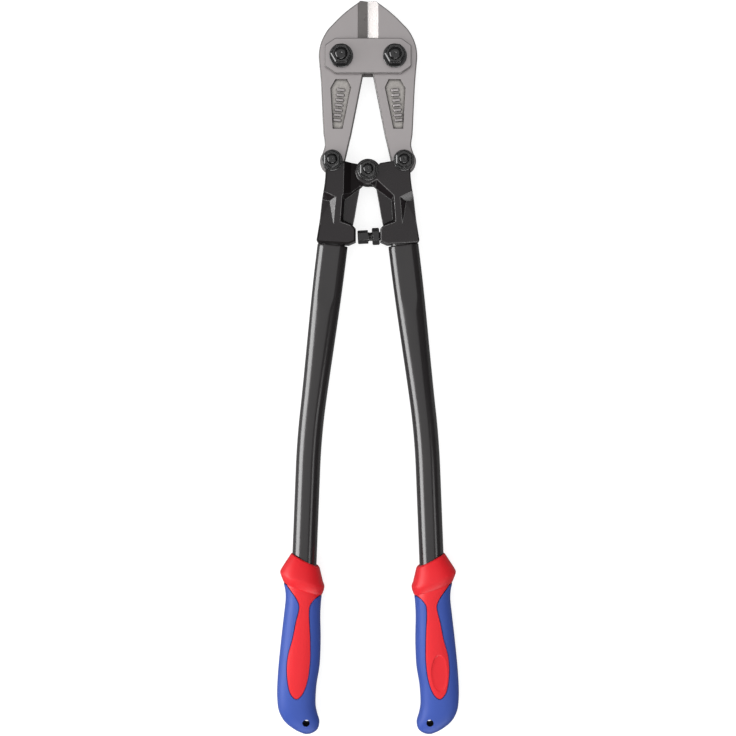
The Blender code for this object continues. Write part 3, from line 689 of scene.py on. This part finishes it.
for side in (-1, 1):
    makeJaw(side)
makePlate("frontPlate", "front_link_plate")
makePlate("rearPlate", "rear_link_plate")
print("link plates made")

for side in (-1, 1):
    word = sideNames[side]
    makeFastener(f"{word}_jaw", "links", (side * jawPivot.x, jawPivot.y), fastenerLook['jaw'])
    makeFastener(f"{word}_toggle", f"{word}_handle", (side * togglePivot.x, togglePivot.y),
                 fastenerLook['toggle'])
makeFastener("centre", "right_handle", (centrePivot.x, centrePivot.y), fastenerLook['toggle'])


# Handle brackets

bracketLook = {
    'bossRadius': 0.0088, 'forkHub': 0.0107, 'forkHubPlace': (0.0, 0.1621), 'tongueHub': 0.0096,
    'tongueHalf': 0.0050, 'play': 0.0021, 'rim': 0.0015, 'pocketFloor': 0.0030, 'notchDepth': 0.0046,
    'socket': (0.0950, 0.1168), 'socketAxes': (0.0106, 0.0065)}
cutTop = bracketHalf + 0.003  # tools for the bracket's faces end above them
tubeLook = {
    'radius': 0.0102, 'wall': 0.0015, 'oval': (0.0126, 0.0088), 'neck': (0.0103, 0.0062),
    'neckEnd': 0.1165, 'shoulder': 0.0002, 'mouth': ((0.0003, 0.0006), (0.0005, 0.00025), (0.0008, 0.0)),
    'flatHalf': 0.0062, 'flatFrom': 0.32, 'flatRise': 0.016, 'flatSoftness': 0.00022,
    'top': (0.0294, 0.1024), 'bend': (0.0490, -0.0590), 'low': (0.0541, -0.1900),
    'end': (0.0556, -0.2280), 'bendReach': 0.026, 'upperSteps': 60, 'bendSteps': 18, 'around': 96}


def tubeLine(y, side):
    # a point of the tube's upper centre line, and the line's direction
    top, bend = Vector(tubeLook['top']), Vector(tubeLook['bend'])
    slope = (bend - top).normalized()
    spot = top + slope * ((y - top.y) / slope.y)
    return Vector((side * spot.x, spot.y)), Vector((side * slope.x, slope.y))


def ovalRing(centre, direction, halfAxes, steps=64, flat=None):
    # an oval across a line in the tool's plane; flat is the height at which it is pressed flat
    across = Vector((direction[1], -direction[0])).normalized()
    ring = []
    for i in range(steps):
        angle = 2 * math.pi * i / steps
        offset = across * halfAxes[0] * math.cos(angle)
        height = abs(halfAxes[1] * math.sin(angle))
        if flat:
            soft = tubeLook['flatSoftness']
            height = max(0.0, -soft * math.log(math.exp(-height / soft) + math.exp(-flat / soft)))
        ring.append((centre[0] + offset.x, centre[1] + offset.y, math.copysign(height, math.sin(angle))))
    return ring


def bracketOutline(hubPlace, hubRadius):
    boss = arcPoints(togglePivot, bracketLook['bossRadius'], -50, 183, 36)
    hub = arcPoints(hubPlace, hubRadius, 34, 281, 40)
    inner = [(0.0046, 0.1512), (0.0069, 0.1489), (0.0091, 0.1368), (0.0109, 0.1261),
             (0.0124, 0.1189), (0.0127, 0.1177), (0.0102, 0.1150), (0.0102, 0.1046)]
    bottom = [(0.0160, 0.1021), (0.0412, 0.1036), (0.0426, 0.1054)]
    outer = splinePoints([(0.0412, 0.1140), (0.0399, 0.1225), (0.0390, 0.1310), (0.0380, 0.1400),
                          (0.0366, 0.1474), (0.0355, 0.1557), (0.0350, 0.1635)], 3)
    return boss + [(0.0184, 0.1707), (0.0100, 0.1693)] + hub + inner + bottom + outer


def pocketTool(side, flip):
    floor = [(0.0195, 0.1392), (0.0062, 0.1492), (0.0030, 0.1480), (0.0070, 0.1172), (0.0205, 0.1226)]
    rim = [(0.0214, 0.1424), (0.0072, 0.1556), (0.0010, 0.1520), (0.0050, 0.1140), (0.0230, 0.1206)]
    points = [(x, y, bracketLook['pocketFloor']) for x, y in floor]
    points += [(x, y, z) for x, y in rim for z in (bracketHalf, cutTop)]
    return hullOf(points, side, flip)


def notchTool(side, flip):
    rim = [(0.0390, 0.1470), (0.0265, 0.1411), (0.0285, 0.1190), (0.0430, 0.1170)]
    depth = bracketHalf - bracketLook['notchDepth']
    points = [(x, y, z) for x, y in rim for z in (bracketHalf, cutTop)]
    points += [(0.0420, 0.1402, depth), (0.0318, 0.1382, depth)]
    return hullOf(points, side, flip)


def tongueTool(flip):
    # takes the left bracket down to the tongue that enters the right one's fork
    points = [(x, y, z) for x, y in ((0.0192, 0.1850), (0.0204, 0.1400)) for z in (bracketHalf, cutTop)]
    points += [(x, y, bracketLook['tongueHalf'])
               for x, y in ((0.0134, 0.1850), (0.0146, 0.1400), (-0.0160, 0.1850), (-0.0160, 0.1400))]
    points += [(-0.0160, y, cutTop) for y in (0.1850, 0.1400)]
    return hullOf(points, -1, flip)


screwLook = {
    'place': (0.0102, 0.1095), 'tilt': 3.0, 'radius': 0.0038, 'flats': 0.0100, 'nutFlats': 0.0126,
    'headFrom': -0.0188, 'headTo': -0.0101, 'tip': 0.0042, 'nutFrom': -0.0068, 'nutTo': -0.0007,
    'pitch': 0.0011, 'boreFrom': -0.004, 'boreTo': 0.0068}


def alongScrew(bm):
    # turns a shape made about z so that it lies along the stop screw, in the bracket's inner face
    tilt = math.radians(screwLook['tilt'])
    axis = Vector((math.cos(tilt), math.sin(tilt), 0))
    turn = Matrix((Vector((-axis.y, axis.x, 0)), Vector((0, 0, 1)), axis)).transposed().to_4x4()
    turn.translation = (*screwLook['place'], 0)
    bmesh.ops.transform(bm, matrix=turn, verts=bm.verts)
    return bm


def makeBracket(side):
    word = sideNames[side]
    fork = side > 0
    look, gap = bracketLook, runningGap
    hub = (look['forkHubPlace'], look['forkHub']) if fork else (centrePivot, look['tongueHub'])
    bm = rimmedPrism(bracketOutline(*hub), -bracketHalf, bracketHalf, look['rim'], side)
    bracket = newObject(f"{word}Bracket", bm, [blackCasting])
    web = arcPoints(togglePivot, jawLook['eyeRadius'] + 0.0012, 184, 318, 24)
    slot = [(0.0180, 0.1900), (0.0180, 0.1705)] + web + [(0.0450, 0.1600), (0.0450, 0.1900)]
    slotHalf = look['tongueHalf'] + gap
    toggle = (side * togglePivot.x, togglePivot.y)
    bore = fastenerLook['toggle']['radius'] + gap
    slope = tubeLine(0, side)[1]
    tools = [
        prism(slot, -slotHalf, slotHalf, side),
        loft([ovalRing(tubeLine(y, side)[0], slope, look['socketAxes']) for y in look['socket']]),
        boreTool(toggle, bore),
        boreTool(centrePivot, bore + (0 if fork else look['play']))]
    finishes = {}
    if fork:
        room = look['tongueHub'] + look['play'] + 2 * gap
        tools.append(loft([circleRing(centrePivot, room, z, 72) for z in (-slotHalf, slotHalf)]))
        screwBore = screwLook['radius'] + gap
        tools.append(alongScrew(loft([circleRing((0, 0), screwBore, z)
                                      for z in (screwLook['boreFrom'], screwLook['boreTo'])])))
    else:
        # the tongue's cut faces take the duller black that paints the shade under the fork
        finishes = {len(tools) + i: slideBlack for i in range(2)}
        tools += [tongueTool(f) for f in (1, -1)]
    tools += [tool(side, f) for tool in (pocketTool, notchTool) for f in (1, -1)]
    cutters = [toolObject(f"cut{i}", tool, material=finishes.get(i, blackCasting))
               for i, tool in enumerate(tools)]
    applyBooleans(bracket, *[(cutter, 'DIFFERENCE') for cutter in cutters])
    tidyMesh(bracket)
    stand(bracket, f"{word}_handle", "black_casting", f"{word}_bracket")
    print(word, "bracket made")


for side in (-1, 1):
    makeBracket(side)


# Stop screw with its lock nut

screwShape = boltShape((0, 0), screwLook['radius'], screwLook['flats'], screwLook['headFrom'],
                       screwLook['headTo'], screwLook['headTo'] + 0.0006, screwLook['tip'],
                       screwLook['pitch'])
stand(newObject("stopScrew", alongScrew(screwShape), [blackOxide], 30), "stop_screw", "black_oxide",
      "stop_screw")
lockNutShape = nutShape((0, 0), screwLook['nutFlats'], screwLook['nutFrom'], screwLook['nutTo'],
                        screwLook['radius'] + runningGap)
stand(newObject("lockNut", alongScrew(lockNutShape), [blackOxide], 30), "right_handle", "black_oxide",
      "lock_nut")
print("stop screw and lock nut made")


# Handle tubes, oval at the bracket and round below the bend

def tubeStations():
    # centre, direction, half axes and height of the pressed flats, from the bracket to the grip
    look = tubeLook
    top, bend, low, end = (Vector(look[key]) for key in ('top', 'bend', 'low', 'end'))
    upper, lower, last = (bend - top).normalized(), (low - bend).normalized(), (end - low).normalized()
    reach = look['bendReach']
    span = (bend - top).length - reach

    def section(share):
        blend = min(max((share - 0.10) / 1.05, 0.0), 1.0)
        blend = blend * blend * (3 - 2 * blend)
        wide, high = (a + (look['radius'] - a) * blend for a in look['oval'])
        flat = high * math.sqrt(1 - (look['flatHalf'] / wide) ** 2)
        flat += max(0, share - look['flatFrom']) * look['flatRise']
        return (wide, high), flat if flat < high * 1.2 else None

    stations = [(tubeLine(look['neckEnd'], 1)[0], upper, look['neck'], None),
                (top + upper * look['shoulder'], upper, look['neck'], None)]
    mouth, flat = section(0)
    for along, less in look['mouth']:
        stations.append((top + upper * along, upper, tuple(a - less for a in mouth), flat - less))
    for step in range(1, look['upperSteps'] + 1):
        share = step / look['upperSteps']
        stations.append((top + upper * (along + (span - along) * share), upper, *section(share)))
    start, stop = bend - upper * reach, bend + lower * reach
    for step in range(1, look['bendSteps'] + 1):
        t = step / look['bendSteps']
        spot = start.lerp(bend, t).lerp(bend.lerp(stop, t), t)
        stations.append((spot, upper.lerp(lower, t).normalized(), section(1 + 0.15 * t)[0], None))
    for spot, direction in ((stop.lerp(low, 0.5), lower), (low, lower), (low.lerp(end, 0.5), last),
                            (end, last)):
        stations.append((spot, direction, section(2)[0], None))
    return stations


def makeTube(side):
    word = sideNames[side]
    wall, around = tubeLook['wall'], tubeLook['around']
    stations = [((side * c.x, c.y), (side * d.x, d.y), axes, flat)
                for c, d, axes, flat in tubeStations()]
    rings = [ovalRing(c, d, axes, around, flat) for c, d, axes, flat in stations]
    rings += [ovalRing(c, d, [a - wall for a in axes], around, flat and flat - wall)
              for c, d, axes, flat in reversed(stations)]
    tube = newObject(f"{word}Tube", loft(rings, closed=True), [blackEnamel], 40)
    stand(tube, f"{word}_handle", "black_enamel", f"{word}_tube")
    print(word, "tube made")


for side in (-1, 1):
    makeTube(side)


# Grips: a red collar with an inlaid panel on each face, and a blue body moulded around them

gripLook = {
    'around': 96, 'collarPower': 2.4, 'bodyPower': 2.35, 'creaseRound': 0.0012, 'seam': 0.0007,
    'inlayFloor': 0.0117, 'skirtEnd': -0.1903, 'faceHeight': 0.0150,
    'holePlace': (0.0512, -0.2937), 'holeRadius': 0.0030,
    'thumbPlace': (0.0590, -0.2520), 'thumbAxes': (0.0072, 0.0154), 'thumbDepth': 0.0013,
    'thumbBowl': ((0.25, 0.0), (0.50, 0.00004), (0.70, 0.0001), (0.86, 0.00025), (0.95, 0.0005),
                  (1.0, 0.0009), (1.03, 0.0014))}

# outer edge, inner edge and half thickness, down the handle
collarRings = [
    ((0.0636, -0.1540), (0.0404, -0.1660), 0.0128), ((0.0716, -0.1662), (0.0375, -0.1783), 0.0171),
    ((0.0734, -0.1695), (0.0361, -0.1820), 0.0180), ((0.0722, -0.1731), (0.0368, -0.1852), 0.0172),
    ((0.0702, -0.1782), (0.0384, -0.1893), 0.0152)]
bodyRings = [
    ((0.0690, -0.1735), (0.0394, -0.1852), 0.0142), ((0.0700, -0.1790), (0.0386, -0.1895), 0.0150),
    ((0.0689, -0.1850), (0.0390, -0.1935), 0.0150), ((0.0686, -0.1930), (0.0394, -0.1990), 0.0150),
    ((0.0699, -0.2050), (0.0397, -0.2080), 0.0150), ((0.0723, -0.2260), (0.0394, -0.2270), 0.0151),
    ((0.0745, -0.2480), (0.0402, -0.2470), 0.0150), ((0.0756, -0.2650), (0.0426, -0.2620), 0.0146),
    ((0.0755, -0.2765), (0.0435, -0.2720), 0.0140), ((0.0743, -0.2850), (0.0436, -0.2810), 0.0132),
    ((0.0711, -0.2919), (0.0421, -0.2885), 0.0122), ((0.0667, -0.2968), (0.0405, -0.2940), 0.0108),
    ((0.0606, -0.3011), (0.0412, -0.2992), 0.0088), ((0.0567, -0.3031), (0.0434, -0.3022), 0.0064),
    ((0.0532, buttY + 0.0001), (0.0474, -0.3044), 0.0026), ((0.0515, buttY), (0.0490, -0.3046), 0.0010)]
panelOutline = [
    (0.0740, -0.1745), (0.0690, -0.1768), (0.0622, -0.1855), (0.0589, -0.1901), (0.0567, -0.1950),
    (0.0567, -0.1998), (0.0593, -0.2102), (0.0620, -0.2237), (0.0657, -0.2370), (0.0668, -0.2486),
    (0.0661, -0.2590), (0.0640, -0.2680), (0.0596, -0.2729), (0.0553, -0.2705), (0.0517, -0.2637),
    (0.0493, -0.2546), (0.0480, -0.2436), (0.0477, -0.2345), (0.0480, -0.2193), (0.0487, -0.2062),
    (0.0484, -0.1977), (0.0470, -0.1943), (0.0433, -0.1902), (0.0370, -0.1868), (0.0365, -0.1840)]


def gripRing(outer, inner, half, side, power):
    middle, reach = (Vector(outer) + Vector(inner)) / 2, (Vector(outer) - Vector(inner)) / 2
    ring = []
    for i in range(gripLook['around']):
        angle = 2 * math.pi * i / gripLook['around']
        c, s = math.cos(angle), math.sin(angle)
        spot = middle + reach * math.copysign(abs(c) ** (2 / power), c)
        ring.append((side * spot.x, spot.y, half * math.copysign(abs(s) ** (2 / power), s)))
    return ring


def denseRings(rings, steps):
    flat = splinePoints([(*outer, *inner, half) for outer, inner, half in rings], steps)
    return [((a, b), (c, d), half) for a, b, c, d, half in flat]


def bodyShape(side):
    return loft([gripRing(*ring, side, gripLook['bodyPower']) for ring in denseRings(bodyRings, 4)])


def collarShape(side):
    bm = loft([gripRing(*ring, side, gripLook['collarPower']) for ring in collarRings])
    creases = [e for e in bm.edges if e.calc_face_angle(0) > math.radians(9) and e.calc_length() < 0.004]
    runs = [(e, e.verts[0].co - e.verts[1].co) for e in creases]
    rows = [e for e, run in runs if abs(run.y) < abs(run.x) + 0.002]
    bmesh.ops.bevel(bm, geom=rows, affect='EDGES', offset=gripLook['creaseRound'], segments=3,
                    profile=0.5, material=-1, clamp_overlap=True)
    return bm


def panelPair(outline, floor, side):
    return [prism(outline, floor, through, side), prism(outline, -through, -floor, side)]


def redRoom(name, grow, floor, side):
    # a panel on each face, and a skirt under the collar that goes right through
    outline = [panelOutline[0]] + splinePoints(panelOutline[1:-1]) + [panelOutline[-1]]
    skirt = [p for p in outline if p[1] > gripLook['skirtEnd']]
    if grow:
        outline, skirt = widened(outline, grow), widened(skirt, grow)
    material = blueRubber if grow else redRubber
    room = toolObject(name, *panelPair(outline, floor, side), material=material)
    skirtShape = prism(skirt, -through, through, side)
    applyBooleans(room, (toolObject("skirt", skirtShape, material=material), 'UNION'))
    return room


def gripBore(side):
    places = (tubeLook[key] for key in ('low', 'end', 'bend'))
    low, end, bend = (Vector((side * x, y)) for x, y in places)
    lower, last = (low - bend).normalized(), (end - low).normalized()
    radius = tubeLook['radius'] + runningGap
    return loft([ovalRing(c, d, (radius, radius)) for c, d in
                 ((low - lower * 0.050, lower), (low, lower), (end + last * runningGap, last))])


def thumbTool(side):
    # a shallow oval bowl in the panel: above on the right grip, below on the left one
    across, along = gripLook['thumbAxes']
    centre = gripLook['thumbPlace']
    turns = [2 * math.pi * i / 64 for i in range(64)]
    rings = []
    for share, rise in gripLook['thumbBowl']:
        z = gripLook['faceHeight'] - gripLook['thumbDepth'] + rise
        rings.append([(side * (centre[0] + across * share * math.cos(t)),
                       centre[1] + along * share * math.sin(t), side * z) for t in turns])
    rings.append([(x, y, side * through) for x, y, _ in rings[-1]])
    return loft(rings)


def makeGrip(side):
    word = sideNames[side]
    collar = newObject(f"{word}Collar", collarShape(side), [redRubber])
    inlay = toolObject("inlay", bodyShape(side), material=redRubber)
    applyBooleans(inlay, (redRoom("redRoom", 0, gripLook['inlayFloor'], side), 'INTERSECT'))
    applyBooleans(collar, (inlay, 'UNION'),
                  (toolObject("bore", gripBore(side), material=redRubber), 'DIFFERENCE'),
                  (toolObject("thumb", thumbTool(side), material=redRubber), 'DIFFERENCE'))
    tidyMesh(collar, 38, 0.2, weighted=False)
    stand(collar, f"{word}_handle", "red_rubber", f"{word}_collar")

    body = newObject(f"{word}GripBody", bodyShape(side), [blueRubber])
    outer, inner = Vector(collarRings[-1][0]), Vector(collarRings[-1][1])
    along = (outer - inner).normalized()
    square = Vector((-along.y, along.x))
    seam, past = gripLook['seam'], 0.02
    low = [inner - along * past - square * seam, outer + along * past - square * seam]
    room = [tuple(p) for p in low + [p + square * past for p in reversed(low)]]
    # the hanging hole's walls take a near-black that paints the shade inside the deep hole
    hole = gripLook['holePlace']
    recess = redRoom("recess", seam, gripLook['inlayFloor'] - runningGap, side)
    applyBooleans(body, (recess, 'DIFFERENCE'),
                  (toolObject("collarRoom", prism(room, -through, through, side), material=blueRubber),
                   'DIFFERENCE'),
                  (toolObject("bore", gripBore(side), material=blueRubber), 'DIFFERENCE'),
                  (toolObject("hangingHole", boreTool((side * hole[0], hole[1]), gripLook['holeRadius']),
                              material=coreBlack), 'DIFFERENCE'))
    tidyMesh(body, 38, 0.2, weighted=False)
    stand(body, f"{word}_handle", "blue_rubber", f"{word}_grip")
    print(word, "grip made")


for side in (-1, 1):
    makeGrip(side)


# Floor, lights and camera

stageLook = {
    'floorColour': (0.38, 0.38, 0.38), 'floorGlow': 0.80, 'floorHalf': 3.0, 'ambient': 0.07,
    'sideAmbient': 0.30, 'cameraHeight': 1.25, 'lens': 73.4, 'aim': (0.0, -0.0003),
    # place, aim, size across, size along, power
    'lights': {
        'overheadBox': ((-1.0, -0.2, 2.3), (-1.0, -0.2, 0), 4.4, 3.6, 45.0),
        'fillBox': ((-0.5, -0.2, 2.0), (0, 0, 0), 2.5, 2.5, 16.0),
        'keyBox': ((-1.45, 0.0, 0.54), (0, 0, 0.54), 1.5, 1.08, 54.0),
        'softBox': ((-1.3, -0.3, 0.6), (0, -0.15, 0), 0.9, 0.7, 9.0),
        'lowCard': ((0.25, -1.15, 0.30), (0.25, 0, 0.30), 1.2, 0.60, 14.0),
        'rightCard': ((0.90, -0.42, 0.85), (0, -0.15, 0.02), 0.60, 0.30, 1.9)},
    'mirroredOnly': ('keyBox', 'lowCard', 'rightCard'), 'neverMirrored': ('fillBox', 'softBox')}

floorBm = bmesh.new()
bmesh.ops.create_grid(floorBm, x_segments=1, y_segments=1, size=stageLook['floorHalf'])
floorPaint = bpy.data.materials.new("floorPaint")
floorPaint.use_nodes = True
floorShader = floorPaint.node_tree.nodes['Principled BSDF']
floorShader.inputs['Base Color'].default_value = (*stageLook['floorColour'], 1)
floorShader.inputs['Roughness'].default_value = 0.8
floorShader.inputs['Specular IOR Level'].default_value = 0.1
floorShader.inputs['Emission Color'].default_value = (1, 1, 1, 1)
rays = floorPaint.node_tree.nodes.new('ShaderNodeLightPath')
glow = addNode(floorPaint.node_tree, 'ShaderNodeMath', {'operation': 'MULTIPLY'})
# the floor's glow keeps it pale without lighting the tool from below
glow.inputs[1].default_value = stageLook['floorGlow']
floorPaint.node_tree.links.new(rays.outputs['Is Camera Ray'], glow.inputs[0])
floorPaint.node_tree.links.new(glow.outputs[0], floorShader.inputs['Emission Strength'])
linkedObject("floor", floorBm, [floorPaint], lift=0)

world = bpy.data.worlds.new("studio")
world.use_nodes = True
backdrop = world.node_tree.nodes['Background']
backdrop.inputs['Color'].default_value = (1, 1, 1, 1)
worldRays = world.node_tree.nodes.new('ShaderNodeLightPath')
# soft light all around that stays out of the reflections, and a white backdrop behind the floor
level = addNode(world.node_tree, 'ShaderNodeMapRange', To_Min=stageLook['ambient'],
                To_Max=stageLook['sideAmbient'])
world.node_tree.links.new(worldRays.outputs['Is Diffuse Ray'], level.inputs['Value'])
seen = addNode(world.node_tree, 'ShaderNodeMath', {'operation': 'MAXIMUM'})
world.node_tree.links.new(worldRays.outputs['Is Camera Ray'], seen.inputs[0])
world.node_tree.links.new(level.outputs['Result'], seen.inputs[1])
world.node_tree.links.new(seen.outputs[0], backdrop.inputs['Strength'])
bpy.context.scene.world = world

for name, (place, aim, across, along, power) in stageLook['lights'].items():
    data = bpy.data.lights.new(name, 'AREA')
    data.shape = 'RECTANGLE'
    data.size, data.size_y, data.energy = across, along, power
    light = bpy.data.objects.new(name, data)
    light.location = place
    light.rotation_euler = (Vector(aim) - Vector(place)).to_track_quat('-Z', 'Y').to_euler()
    light.visible_diffuse = name not in stageLook['mirroredOnly']
    light.visible_glossy = name not in stageLook['neverMirrored']
    bpy.context.collection.objects.link(light)

cameraData = bpy.data.cameras.new("camera")
cameraData.sensor_width = 36
cameraData.lens = stageLook['lens']
cameraData.clip_start, cameraData.clip_end = 0.05, 20
camera = bpy.data.objects.new("camera", cameraData)
camera.location = (*stageLook['aim'], midHeight + stageLook['cameraHeight'])
bpy.context.collection.objects.link(camera)
bpy.context.scene.camera = camera
bpy.context.scene.view_settings.view_transform = 'Standard'
print("floor, lights and camera placed")
